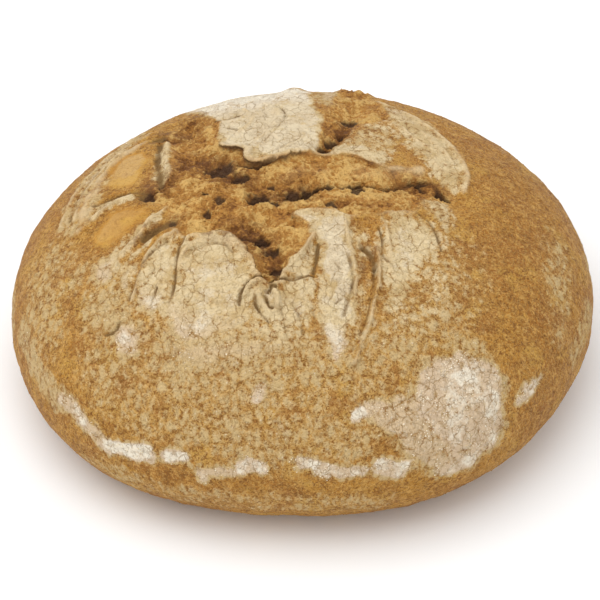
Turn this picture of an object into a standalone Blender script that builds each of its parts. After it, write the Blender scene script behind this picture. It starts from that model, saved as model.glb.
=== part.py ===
"""Round wholemeal hearth loaf with a torn, floury crown, modelled as one closed solid.

The loaf is a low domed bun. Its skin has burst along a wide tear that runs from
left to right over the crown, with a groove to the back and a V to the front.
Plates of floury skin stand up beside the tears as soft lips.

Units are metres. +Z is up, the front is at -Y, and the origin lies under the
middle of the loaf, at the level that the loaf stands on.
"""
import math

import bmesh
import bpy
import numpy as np
from mathutils import Vector, noise

MM = 0.001

# Overall size
LOAF_RADIUS = 120 * MM
LOAF_HEIGHT = 87 * MM
WIDEST_HEIGHT = 28 * MM
BASE_SHARE = 0.83
CROWN_POWER = 0.85

# Unevenness of the plan outline: waves round the loaf, share of the radius, bearing in degrees
PLAN_WAVES = (
    (2, 0.0163, 39),
    (3, 0.0095, -32),
    (4, 0.0057, 34),
    (5, 0.0053, 15),
    (6, 0.0037, -7),
)

# Mesh
SPHERE_LEVEL = 7
UNDERSIDE_ANGLE = math.radians(155)
PROFILE_STEPS = 3000
KEPT_SHARE = 0.125
SMALLEST_EDGE = 0.0001

# The crown is laid out on a flat map, in millimetres: distance from the top, measured along
# the skin, in the direction that the place has in plan. The front is at the bottom of the map.
TEAR_WALL = 4.0
TEARS = {
    "main": (1.6, (
        (-46, 72), (-56, 68), (-63, 58), (-66, 50), (-57, 46), (-55, 26), (-57, 12), (-66, 5),
        (-63, -1), (-57, -5), (-53, -14), (-48, -25), (-41, -27), (-31, -26), (-24, -32),
        (-19, -48), (-14, -55), (-9, -56), (-8, -50), (-5, -38), (2, -28), (3, -22), (-4, -18),
        (8, -14), (18, -18), (33, -15), (44, -10), (49, 0), (62, 3), (60, 10), (48, 19),
        (30, 18), (22, 24), (8, 25), (-2, 26), (-8, 22), (-14, 21), (-20, 20), (-25, 25),
        (-24, 31), (-33, 35), (-37, 44), (-36, 58), (-38, 65))),
    "back": (1.4, (
        (8, 26), (7, 42), (8, 60), (13, 78), (15, 94), (22, 112), (30, 98), (33, 82), (38, 62),
        (25, 54), (17, 40), (14, 28))),
}

# The tear lies deepest along its middle: depth, width, line
VALLEYS = {
    "main": (3.0, 14, (
        (-52, 62), (-46, 40), (-36, 22), (-27, 13), (-18, -1), (-4, 1), (10, 6), (22, 5),
        (36, 7), (48, 12), (60, 4))),
    "front": (3.4, 8, ((-17, -14), (-16, -28), (-13, -38), (-11, -50))),
    "back": (2.8, 8, ((10, 30), (14, 43), (19, 55), (22, 70))),
    "front groove": (1.0, 6, ((24, -24), (24, -40), (24, -55), (22, -70))),
    "plate fold": (1.3, 6, ((-25, 78), (-15, 70), (-14, 60), (-16, 50), (-22, 40), (-30, 38))),
    "flap": (1.2, 4, ((3, -37), (2, -46))),
}

# Skin that curls up beside a tear: height, width, line
LIPS = {
    "back plate": (1.7, 12, ((-33, 36), (-25, 31), (-24, 24), (-18, 20), (-10, 22), (-2, 27))),
    "back band": (1.3, 10, ((7, 25), (14, 28), (20, 25), (25, 20), (31, 18))),
    "front left plate": (1.8, 11, (
        (-47, -36), (-46, -30), (-42, -26), (-31, -27), (-26, -32), (-21, -40), (-17, -52))),
    "front left lobe": (1.6, 7, ((-57, -30), (-56, -25), (-51, -23), (-49, -26))),
    "column": (1.4, 10, ((-5, -19), (1, -17), (8, -15), (14, -17), (18, -20))),
    "right plate": (1.3, 10, ((30, -26), (32, -19), (44, -11), (53, -19), (56, -30))),
    "small lobe": (2.0, 6, ((-8, -64), (-9, -56), (-8, -53), (-4, -52), (1, -54), (5, -59))),
}

# Narrow folds that stand proud: height, width, line
RIDGES = {
    "flap edge": (1.8, 3.0, ((4, -30), (3, -33), (-1, -41), (-7, -48), (-7, -51), (-2, -52))),
    "petal": (1.5, 2.8, ((-22, -58), (-21, -55), (-17, -54), (-14, -57), (-10, -62), (-10, -67))),
    "skin edge": (1.6, 2.6, (
        (29, -35), (30, -41), (30, -51), (29, -59), (26, -72), (24, -80), (20, -92))),
    "right flake, outer": (1.0, 4.0, ((33, 84), (49, 67), (60, 48), (68, 28), (66, 10))),
    "right flake, folds": (0.8, 3.0, ((34, 57), (40, 55), (46, 43), (56, 35))),
    "left stripe": (1.4, 3.4, ((-59, 46), (-58, 30), (-56, 17))),
    "left panel rim": (0.9, 5.0, ((-70, 56), (-85, 36), (-92, 14), (-92, -6))),
    "left fold": (1.3, 3.4, ((-92, -8), (-86, -1), (-78, 3), (-70, 4))),
    "orange panel rim": (1.5, 3.2, (
        (-54, -5), (-57, -11), (-61, -13), (-65, -22), (-69, -26), (-73, -33))),
    "second fold": (1.0, 3.0, (
        (-50, -24), (-54, -25), (-59, -29), (-62, -36), (-64, -44), (-66, -53))),
}

# Creases and cracks: depth, width, line
CREASES = {
    "fissure": (3.2, 2.8, (
        (-6, 0), (-1, 1), (3, 2), (7, 5), (13, 7), (18, 5), (23, 8), (27, 8), (31, 6), (36, 7),
        (41, 11), (47, 14), (50, 9))),
    "fissure end": (1.8, 2.6, ((47, 14), (53, 15), (56, 10), (60, 4))),
    "under the back plate": (2.2, 2.8, ((-27, 22), (-21, 18), (-16, 19), (-12, 21))),
    "right plate crack": (1.6, 2.6, ((46, -11), (52, -17), (56, -32))),
    "left stripe groove": (2.0, 3.4, ((-63, 48), (-62, 30), (-59, 10))),
    "left fold groove": (1.1, 3.4, ((-88, 9), (-80, 8), (-73, 10))),
    "left recess": (1.9, 3.6, ((-51, -16), (-56, -18), (-60, -20), (-63, -23))),
    "lobe gap": (1.5, 2.6, ((-45, -25), (-48, -31), (-48, -38), (-49, -50), (-52, -60))),
    "flap shadow": (1.5, 2.6, ((6, -34), (5, -43), (4, -51))),
    "petal crease": (1.5, 2.6, ((-24, -63), (-23, -57), (-20, -53), (-15, -53))),
    "right recess": (1.4, 3.4, ((23, -32), (27, -36), (28, -44), (28, -51))),
}

# Hollows in the crumb: depth, radius, place
PITS = (
    (2.6, 5.2, (-18, -2)),
    (2.2, 3.4, (-34, -4)),
    (2.8, 5.0, (-5, 0)),
    (2.6, 4.2, (1, 1)),
    (2.4, 4.0, (-27, 13)),
    (1.8, 8.0, (-35, 21)),
    (2.5, 4.5, (-63, 4)),
    (1.8, 4.0, (22, 3)),
    (2.6, 3.8, (-17, -28)),
    (2.2, 3.2, (-11, -45)),
    (2.2, 3.4, (10, 32)),
    (2.6, 3.8, (12, 38)),
    (2.4, 3.6, (16, 45)),
    (2.4, 4.2, (20, 60)),
    (2.0, 5.0, (-64, 57)),
)

# Broad swellings: height, radius, place
SWELLS = (
    (2.0, 5, (-4, 100)),
    (1.4, 9, (-2, 90)),
    (2.4, 5, (19, 98)),
    (2.4, 5, (26, 97)),
    (1.5, 14, (-36, -8)),
    (1.2, 12, (28, -6)),
    (1.3, 10, (20, -6)),
    (1.5, 16, (-72, -10)),
    (1.0, 16, (-76, 30)),
    (1.0, 22, (-38, -45)),
)

# How far the tears and folds wander from their drawn lines, and how often
WANDER = 1.8
WANDER_SPACING = 13.0
CORNER_CUTS = 2

# Roughness: height and spacing of the lumps, in millimetres
CRUMB_HEIGHT = 1.4
CRUMB_SPACING = 6.0
CRUST_HEIGHT = 0.5
CRUST_SPACING = 22.0
SOFT_EDGE = 14.0

CRUST_COLOR = (0.42, 0.21, 0.06, 1.0)
CRUST_ROUGHNESS = 0.75


def clear_scene():
    for item in list(bpy.data.objects):
        bpy.data.objects.remove(item, do_unlink=True)


def meridian():
    """The side profile: distance along the skin, share of the radius, height."""
    crown = np.linspace(0.0, math.pi / 2, PROFILE_STEPS)
    lower_end = math.acos(BASE_SHARE)
    lower = np.linspace(0.0, lower_end, PROFILE_STEPS)[1:]
    crown_rise = np.clip(np.cos(crown), 0.0, 1.0) ** CROWN_POWER
    share = np.concatenate((np.sin(crown), np.cos(lower)))
    height = np.concatenate((
        WIDEST_HEIGHT + (LOAF_HEIGHT - WIDEST_HEIGHT) * crown_rise,
        WIDEST_HEIGHT * (1.0 - np.sin(lower) / math.sin(lower_end)),
    ))
    steps = np.hypot(np.diff(share * LOAF_RADIUS), np.diff(height))
    along = np.concatenate(([0.0], np.cumsum(steps)))
    return along, share, height


def plan_radius(bearing):
    """The radius of the widest outline at a bearing round the loaf."""
    scale = np.ones_like(bearing)
    for count, amount, degrees in PLAN_WAVES:
        scale += amount * np.cos(count * (bearing - math.radians(degrees)))
    return LOAF_RADIUS * scale


def rounded(line, closed=False):
    """The line with its corners cut to a soft curve."""
    points = np.array(line, dtype=float)
    for _ in range(CORNER_CUTS):
        following = np.roll(points, -1, axis=0)
        cuts = np.stack((0.75 * points + 0.25 * following, 0.25 * points + 0.75 * following), 1)
        cuts = cuts.reshape(-1, 2)
        points = cuts if closed else np.vstack((points[:1], cuts[:-2], points[-1:]))
    return points


def line_distance(places, points):
    """The distance from each place to a line of short straight stretches."""
    nearest = np.full(len(places), 1e9)
    for start, end in zip(points, points[1:]):
        run = end - start
        share = np.clip((places - start) @ run / (run @ run), 0.0, 1.0)
        gap = places - start - share[:, None] * run
        nearest = np.minimum(nearest, np.hypot(gap[:, 0], gap[:, 1]))
    return nearest


def inside(places, points):
    """True for each place within a closed outline."""
    within = np.zeros(len(places), dtype=bool)
    x, y = places[:, 0], places[:, 1]
    for (x0, y0), (x1, y1) in zip(points, np.roll(points, -1, axis=0)):
        if y0 == y1:
            continue
        crosses = (y0 > y) != (y1 > y)
        within ^= crosses & (x < x0 + (y - y0) * (x1 - x0) / (y1 - y0))
    return within


def smooth_step(value):
    value = np.clip(value, 0.0, 1.0)
    return value * value * (3.0 - 2.0 * value)


def lumps(places, spacing, seed):
    """Smooth uneven heights between about -1 and 1."""
    values = np.empty(len(places))
    for index, (x, y) in enumerate(places):
        values[index] = noise.fractal(Vector((x / spacing, y / spacing, seed)), 0.9, 2.0, 3)
    return values


def wandering(places):
    """The places moved a little to and fro, so that no torn edge runs true."""
    aside = np.stack((lumps(places, WANDER_SPACING, 3.5), lumps(places, WANDER_SPACING, 5.5)), 1)
    return places + WANDER * aside


def relief(places):
    """The height of the torn and folded skin over the smooth loaf, in millimetres."""
    crumb = CRUMB_HEIGHT * lumps(places, CRUMB_SPACING, 1.5)
    crust = CRUST_HEIGHT * lumps(places, CRUST_SPACING, 7.5)
    places = wandering(places)
    height = np.zeros(len(places))
    torn = np.zeros(len(places))
    for depth, outline in TEARS.values():
        points = rounded(outline, closed=True)
        edge = line_distance(places, np.vstack((points, points[:1])))
        sunk = smooth_step(np.where(inside(places, points), edge, 0.0) / TEAR_WALL)
        height = np.minimum(height, -depth * sunk)
        torn = np.maximum(torn, sunk)
    valley = np.zeros(len(places))
    for depth, width, line in VALLEYS.values():
        near = smooth_step(1.0 - line_distance(places, rounded(line)) / width)
        valley = np.maximum(valley, depth * near)
    height -= valley
    raised = np.zeros(len(places))
    for rise, width, line in LIPS.values():
        near = np.clip(1.0 - line_distance(places, rounded(line)) / width, 0.0, 1.0)
        raised = np.maximum(raised, rise * near ** 2)
    height += raised * (1.0 - torn)
    for rise, width, line in RIDGES.values():
        height += rise * smooth_step(1.0 - line_distance(places, rounded(line)) / width)
    for depth, width, line in CREASES.values():
        height -= depth * smooth_step(1.0 - line_distance(places, rounded(line)) / width)
    for depth, radius, centre in PITS:
        reach = np.hypot(places[:, 0] - centre[0], places[:, 1] - centre[1])
        height -= depth * smooth_step(1.0 - reach / radius)
    for rise, radius, centre in SWELLS:
        reach = np.hypot(places[:, 0] - centre[0], places[:, 1] - centre[1])
        height += rise * np.exp(-(reach / radius) ** 2)
    return height + crumb * torn + crust


def loaf_places(directions):
    """Where each direction of a unit sphere comes to lie on the loaf."""
    along, share, height = meridian()
    polar = np.arccos(np.clip(directions[:, 2], -1.0, 1.0))
    bearing = np.arctan2(directions[:, 1], directions[:, 0])
    skin = np.minimum(polar / UNDERSIDE_ANGLE, 1.0) * along[-1]
    under = np.clip((polar - UNDERSIDE_ANGLE) / (math.pi - UNDERSIDE_ANGLE), 0.0, 1.0)
    radius = np.interp(skin, along, share) * (1.0 - under)
    level = np.interp(skin, along, height)

    reach = plan_radius(bearing) * radius
    places = np.stack((reach * np.cos(bearing), reach * np.sin(bearing), level), axis=1)

    slope_run = np.gradient(share * LOAF_RADIUS, along)
    slope_rise = np.gradient(height, along)
    outward = -np.interp(skin, along, slope_rise)
    upward = np.interp(skin, along, slope_run)
    normals = np.stack((outward * np.cos(bearing), outward * np.sin(bearing), upward), axis=1)

    map_mm = np.stack((np.cos(bearing), np.sin(bearing)), axis=1) * (skin / MM)[:, None]
    fade = smooth_step((along[-1] - skin) / MM / SOFT_EDGE)
    return places + normals * (relief(map_mm) * fade * MM)[:, None]


def crust_material():
    material = bpy.data.materials.new("crust")
    material.use_nodes = True
    shader = material.node_tree.nodes["Principled BSDF"]
    shader.inputs["Base Color"].default_value = CRUST_COLOR
    shader.inputs["Roughness"].default_value = CRUST_ROUGHNESS
    shader.inputs["Metallic"].default_value = 0.0
    return material


def sphere_mesh():
    mesh = bpy.data.meshes.new("loaf")
    cage = bmesh.new()
    bmesh.ops.create_icosphere(cage, subdivisions=SPHERE_LEVEL, radius=1.0)
    cage.to_mesh(mesh)
    cage.free()
    return mesh


def set_places(mesh, places):
    mesh.vertices.foreach_set("co", places.astype(np.float32).ravel())
    mesh.update()


def get_places(mesh):
    places = np.empty(len(mesh.vertices) * 3, dtype=np.float32)
    mesh.vertices.foreach_get("co", places)
    return places.reshape(-1, 3).astype(float)


def thin_out(loaf):
    """Keeps the triangles where the relief is, and few where the crust is plain."""
    thinner = loaf.modifiers.new("thin out", "DECIMATE")
    thinner.ratio = KEPT_SHARE
    evaluated = loaf.evaluated_get(bpy.context.evaluated_depsgraph_get())
    full = loaf.data
    loaf.data = bpy.data.meshes.new_from_object(evaluated)
    loaf.modifiers.clear()
    bpy.data.meshes.remove(full)
    tidy = bmesh.new()
    tidy.from_mesh(loaf.data)
    bmesh.ops.dissolve_degenerate(tidy, dist=SMALLEST_EDGE, edges=tidy.edges)
    bmesh.ops.triangulate(tidy, faces=tidy.faces)
    tidy.to_mesh(loaf.data)
    tidy.free()


def stand_on_origin(mesh):
    places = get_places(mesh)
    low, high = places.min(axis=0), places.max(axis=0)
    places[:, :2] -= (low[:2] + high[:2]) / 2
    places[:, 2] -= low[2]
    set_places(mesh, places)


def make_loaf(collection):
    mesh = sphere_mesh()
    set_places(mesh, loaf_places(get_places(mesh)))
    mesh.materials.append(crust_material())
    loaf = bpy.data.objects.new("loaf", mesh)
    collection.objects.link(loaf)
    thin_out(loaf)
    stand_on_origin(loaf.data)
    loaf.data.shade_smooth()
    return loaf


def main():
    clear_scene()
    collection = bpy.data.collections.new("wholemeal_loaf")
    bpy.context.scene.collection.children.link(collection)
    make_loaf(collection)


main()
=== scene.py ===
# %% [markdown]
# Round wholemeal loaf
#
# A hearth loaf of about a kilogram: a low dome whose skin has burst open on top. The pieces
# of skin beside the tears are plates, dusted with flour, that have curled up at their edges.
# Between them the torn crumb shows, rough and golden brown. This lesson dresses the packed
# model, which is one solid, with a finer skin of the same form and with baked colours.

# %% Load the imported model
import math

import bmesh
import bpy
import numpy as np
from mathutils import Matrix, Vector


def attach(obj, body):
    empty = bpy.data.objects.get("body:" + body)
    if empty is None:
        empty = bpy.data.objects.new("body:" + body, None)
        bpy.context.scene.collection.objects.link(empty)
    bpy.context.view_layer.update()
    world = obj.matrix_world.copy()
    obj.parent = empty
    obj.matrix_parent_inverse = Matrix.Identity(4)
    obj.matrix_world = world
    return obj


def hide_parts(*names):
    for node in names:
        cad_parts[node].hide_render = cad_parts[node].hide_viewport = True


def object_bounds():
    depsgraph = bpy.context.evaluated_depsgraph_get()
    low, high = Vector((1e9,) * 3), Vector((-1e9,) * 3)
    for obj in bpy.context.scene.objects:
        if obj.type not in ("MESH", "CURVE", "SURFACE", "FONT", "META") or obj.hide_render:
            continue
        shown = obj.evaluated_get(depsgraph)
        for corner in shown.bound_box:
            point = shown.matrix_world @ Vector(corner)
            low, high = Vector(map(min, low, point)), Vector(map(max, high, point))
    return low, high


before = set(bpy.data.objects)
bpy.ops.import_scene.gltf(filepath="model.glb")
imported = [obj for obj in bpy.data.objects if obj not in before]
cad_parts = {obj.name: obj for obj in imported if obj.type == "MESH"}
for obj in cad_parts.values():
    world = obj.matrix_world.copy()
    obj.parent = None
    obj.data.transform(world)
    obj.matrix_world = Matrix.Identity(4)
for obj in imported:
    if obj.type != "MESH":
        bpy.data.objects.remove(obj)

cad_low, cad_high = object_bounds()
MM = 0.001
print("solid", [round(side / MM, 1) for side in cad_high - cad_low], "mm")

# %% [markdown]
# The smooth loaf
#
# Before it burst, the loaf was a dome over a short belly that turns in to a flat base. Such a
# turned form could come from a Screw modifier, but then every wrinkle would need its own
# geometry. Here the form is a function instead: it takes a place on a flat map of the skin,
# in millimetres from the top, and gives the place in space and the way the skin faces.

# %% The form of the smooth loaf
LOAF_RADIUS = 120 * MM
LOAF_HEIGHT = 87 * MM
WIDEST_HEIGHT = 28 * MM
BASE_SHARE = 0.83
CROWN_POWER = 0.85
PLAN_WAVES = (
    (2, 0.0163, 39),
    (3, 0.0095, -32),
    (4, 0.0057, 34),
    (5, 0.0053, 15),
    (6, 0.0037, -7),
)
PROFILE_STEPS = 3000


def side_profile():
    crown = np.linspace(0.0, math.pi / 2, PROFILE_STEPS)
    lower_end = math.acos(BASE_SHARE)
    lower = np.linspace(0.0, lower_end, PROFILE_STEPS)[1:]
    rise = np.clip(np.cos(crown), 0.0, 1.0) ** CROWN_POWER
    share = np.concatenate((np.sin(crown), np.cos(lower)))
    height = np.concatenate((
        WIDEST_HEIGHT + (LOAF_HEIGHT - WIDEST_HEIGHT) * rise,
        WIDEST_HEIGHT * (1.0 - np.sin(lower) / math.sin(lower_end)),
    ))
    steps = np.hypot(np.diff(share * LOAF_RADIUS), np.diff(height))
    return np.concatenate(([0.0], np.cumsum(steps))), share, height


ALONG, SHARE, HEIGHT = side_profile()
SKIN_END = ALONG[-1]
SLOPE_RUN = np.gradient(SHARE * LOAF_RADIUS, ALONG)
SLOPE_RISE = np.gradient(HEIGHT, ALONG)


def plan_radius(bearing):
    scale = np.ones_like(bearing)
    for count, amount, degrees in PLAN_WAVES:
        scale += amount * np.cos(count * (bearing - math.radians(degrees)))
    return LOAF_RADIUS * scale


def on_loaf(skin_map, under):
    """Places and outward directions for points of the skin map and of the underside."""
    bearing = np.arctan2(skin_map[:, 1], skin_map[:, 0])
    skin = np.minimum(np.hypot(skin_map[:, 0], skin_map[:, 1]) * MM, SKIN_END)
    reach = plan_radius(bearing) * np.interp(skin, ALONG, SHARE) * (1.0 - under)
    level = np.interp(skin, ALONG, HEIGHT)
    across = np.stack((np.cos(bearing), np.sin(bearing)), axis=1)
    places = np.column_stack((across * reach[:, None], level))
    outward = -np.interp(skin, ALONG, SLOPE_RISE)
    faces = np.column_stack((across * outward[:, None], np.interp(skin, ALONG, SLOPE_RUN)))
    return places, faces


print("skin from top to base", round(SKIN_END / MM, 1), "mm")

# %% [markdown]
# Tools for drawing on the skin
#
# Tears, folds and cracks are drawn on the skin map as short lines, each with the few points
# that its shape needs. A line's corners are cut to a curve, and the skin then rises or sinks
# by the distance from it. Uneven noise bends the lines and roughens what lies between them.

# %% Drawing tools
CORNER_CUTS = 2
NOISE_CELLS = 256


def soft(value):
    value = np.clip(value, 0.0, 1.0)
    return value * value * (3.0 - 2.0 * value)


def rounded(line, closed=False):
    points = np.array(line, dtype=float)
    for _ in range(CORNER_CUTS):
        following = np.roll(points, -1, axis=0)
        cuts = np.stack((0.75 * points + 0.25 * following, 0.25 * points + 0.75 * following), 1)
        cuts = cuts.reshape(-1, 2)
        points = cuts if closed else np.vstack((points[:1], cuts[:-2], points[-1:]))
    return np.vstack((points, points[:1])) if closed else points


def nearest(points, line, reach):
    """Distance to the line, at most reach, and the step to its nearest point."""
    distance = np.full(len(points), float(reach))
    step = np.zeros((len(points), 2))
    low, high = line.min(axis=0) - reach, line.max(axis=0) + reach
    close = np.all((points > low) & (points < high), axis=1)
    chosen = points[close]
    best, best_step = distance[close], step[close]
    for start, end in zip(line, line[1:]):
        run = end - start
        share = np.clip((chosen - start) @ run / (run @ run), 0.0, 1.0)
        gap = start + share[:, None] * run - chosen
        length = np.hypot(gap[:, 0], gap[:, 1])
        nearer = length < best
        best = np.where(nearer, length, best)
        best_step[nearer] = gap[nearer]
    distance[close], step[close] = best, best_step
    return distance, step


def inside(points, line):
    within = np.zeros(len(points), dtype=bool)
    x, y = points[:, 0], points[:, 1]
    for (x0, y0), (x1, y1) in zip(line, line[1:]):
        if y0 != y1:
            crosses = (y0 > y) != (y1 > y)
            within ^= crosses & (x < x0 + (y - y0) * (x1 - x0) / (y1 - y0))
    return within


def noise(points, spacing, seed):
    """Smooth uneven values between about -1 and 1."""
    turns = np.random.default_rng(seed).uniform(0.0, 2 * math.pi, (NOISE_CELLS, NOISE_CELLS))
    scaled = points / spacing
    cell = np.floor(scaled).astype(int)
    part = scaled - cell
    fade = part ** 3 * (part * (6.0 * part - 15.0) + 10.0)
    corners = []
    for right in (0, 1):
        for up in (0, 1):
            turn = turns[(cell[:, 0] + right) % NOISE_CELLS, (cell[:, 1] + up) % NOISE_CELLS]
            corners.append(np.cos(turn) * (part[:, 0] - right) + np.sin(turn) * (part[:, 1] - up))
    left = corners[0] + fade[:, 1] * (corners[1] - corners[0])
    right = corners[2] + fade[:, 1] * (corners[3] - corners[2])
    return 1.5 * (left + fade[:, 0] * (right - left))


def layered(points, spacing, seed, layers=3):
    total = np.zeros(len(points))
    for layer in range(layers):
        total += noise(points, spacing / 2 ** layer, seed + layer) / 2 ** layer
    return total


# %% [markdown]
# Tears, lips, folds and hollows
#
# The tears run over the crown from left to right, to the back, and in a V to the front. On
# the real loaf the skin beside a tear dries first and curls up into a lip, and steam leaves
# hollows in the crumb. The lists give each of them its size and its line on the skin map,
# in millimetres, with the front of the loaf at the bottom of the map.

# %% The lines of the tears and folds
TEARS = {
    "main": (1.5, (
        (-46, 72), (-56, 68), (-63, 58), (-66, 50), (-57, 46), (-55, 26), (-57, 12), (-66, 5),
        (-63, -1), (-57, -5), (-53, -14), (-48, -25), (-41, -27), (-31, -26), (-24, -32),
        (-19, -48), (-14, -55), (-9, -56), (-8, -50), (-5, -38), (2, -28), (3, -22), (-4, -18),
        (8, -14), (18, -18), (33, -15), (44, -10), (49, 0), (62, 3), (60, 10), (48, 19),
        (30, 18), (22, 24), (8, 25), (-2, 26), (-8, 22), (-14, 21), (-20, 20), (-25, 25),
        (-24, 31), (-33, 35), (-37, 44), (-36, 58), (-38, 65))),
    "back": (1.2, (
        (8, 26), (7, 42), (8, 60), (13, 78), (15, 94), (22, 112), (30, 98), (33, 82), (38, 62),
        (25, 54), (17, 40), (14, 28))),
}
VALLEYS = {
    "main": (3.0, 14, (
        (-52, 62), (-46, 40), (-36, 22), (-27, 13), (-18, -1), (-4, 1), (10, 6),
        (22, 5), (36, 7), (48, 12), (60, 4))),
    "front": (3.4, 8, ((-17, -14), (-16, -28), (-13, -38), (-11, -50))),
    "back": (2.8, 8, ((10, 30), (14, 43), (19, 55), (22, 70))),
    "front groove": (1.0, 6, ((24, -24), (24, -40), (24, -55), (22, -70))),
    "plate fold": (1.3, 6, ((-25, 78), (-15, 70), (-14, 60), (-16, 50), (-22, 40), (-30, 38))),
    "flap": (1.2, 4, ((3, -37), (2, -46))),
}
LIPS = {
    "back plate": (2.0, 12, ((-33, 36), (-25, 31), (-24, 24), (-18, 20), (-10, 22), (-2, 27))),
    "back band": (1.2, 10, ((7, 25), (14, 28), (20, 25), (25, 20), (31, 18))),
    "front left plate": (1.7, 11, (
        (-47, -36), (-46, -30), (-42, -26), (-31, -27), (-26, -32), (-21, -40), (-17, -52))),
    "front left lobe": (1.5, 7, ((-57, -30), (-56, -25), (-51, -23), (-49, -26))),
    "column": (1.3, 10, ((-5, -19), (1, -17), (8, -15), (14, -17), (18, -20))),
    "right plate": (1.2, 10, ((30, -26), (32, -19), (44, -11), (53, -19), (56, -30))),
    "small lobe": (2.7, 6, ((-8, -64), (-9, -56), (-8, -53), (-4, -52), (1, -54), (5, -59))),
}
RIDGES = {
    "left plate roll": (1.0, 2.0, (
        (-47, -42), (-46, -35), (-42, -30), (-36, -29), (-30, -30), (-25, -36), (-21, -45))),
    "flap edge": (2.8, 2.1, ((4, -30), (3, -33), (-1, -41), (-7, -48), (-7, -51), (-2, -52))),
    "petal outer": (2.5, 1.9, (
        (-23, -60), (-21, -55), (-17, -54), (-13, -57), (-10, -62), (-10, -67))),
    "petal leaf": (2.0, 1.6, ((-17, -58), (-17, -63), (-13, -71), (-10, -67))),
    "skin edge": (2.8, 1.6, (
        (29, -35), (30, -41), (30, -51), (29, -59), (26, -72), (24, -80), (20, -92))),
    "right flake, outer": (1.1, 2.6, ((33, 84), (49, 67), (60, 48), (68, 28), (66, 10))),
    "right flake, fold": (0.9, 1.8, ((34, 57), (40, 55), (46, 43), (56, 35))),
    "right flake, fold 2": (0.8, 1.8, ((38, 66), (46, 58), (56, 42), (62, 28))),
    "right flake, inner": (0.8, 2.0, ((41, 37), (50, 31), (58, 20))),
    "left stripe": (1.6, 2.4, ((-59, 46), (-58, 30), (-56, 17))),
    "left panel rim": (1.0, 4.5, ((-70, 56), (-85, 36), (-92, 14), (-92, -6))),
    "left band fold": (1.0, 2.0, ((-96, 2), (-93, 22), (-86, 42), (-76, 58), (-68, 66))),
    "left band fold 2": (0.9, 1.8, ((-103, 2), (-99, 26), (-90, 50), (-78, 70))),
    "left panel fold": (0.8, 2.2, ((-78, 50), (-86, 30), (-88, 12), (-90, -4))),
    "left fold": (1.7, 2.4, ((-92, -8), (-86, -1), (-78, 4), (-70, 6))),
    "orange panel rim": (1.9, 2.2, (
        (-54, -5), (-57, -11), (-61, -13), (-65, -22), (-69, -26), (-73, -33))),
    "second fold": (1.2, 1.8, (
        (-50, -24), (-54, -25), (-59, -29), (-62, -36), (-64, -44), (-66, -53))),
    "plate wrinkle": (0.8, 1.6, ((-50, -37), (-55, -46), (-57, -54))),
    "front lobe edge": (1.3, 1.6, ((-16, 24), (-9, 28), (-5, 31), (-1, 36))),
    "back swirl": (1.5, 2.4, ((-17, 77), (-11, 68), (-11, 58), (-14, 48), (-20, 38))),
    "back swirl 2": (1.1, 2.0, ((-26, 70), (-22, 62), (-22, 54), (-27, 46))),
    "right plate fold": (0.8, 1.8, ((33, -22), (35, -32), (34, -42), (37, -50))),
    "column edge": (0.9, 1.8, ((17, -22), (19, -34), (21, -46), (20, -60))),
    "ledge": (1.3, 7.0, ((-8, 11), (4, 14), (20, 14), (34, 15), (46, 19))),
}
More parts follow.
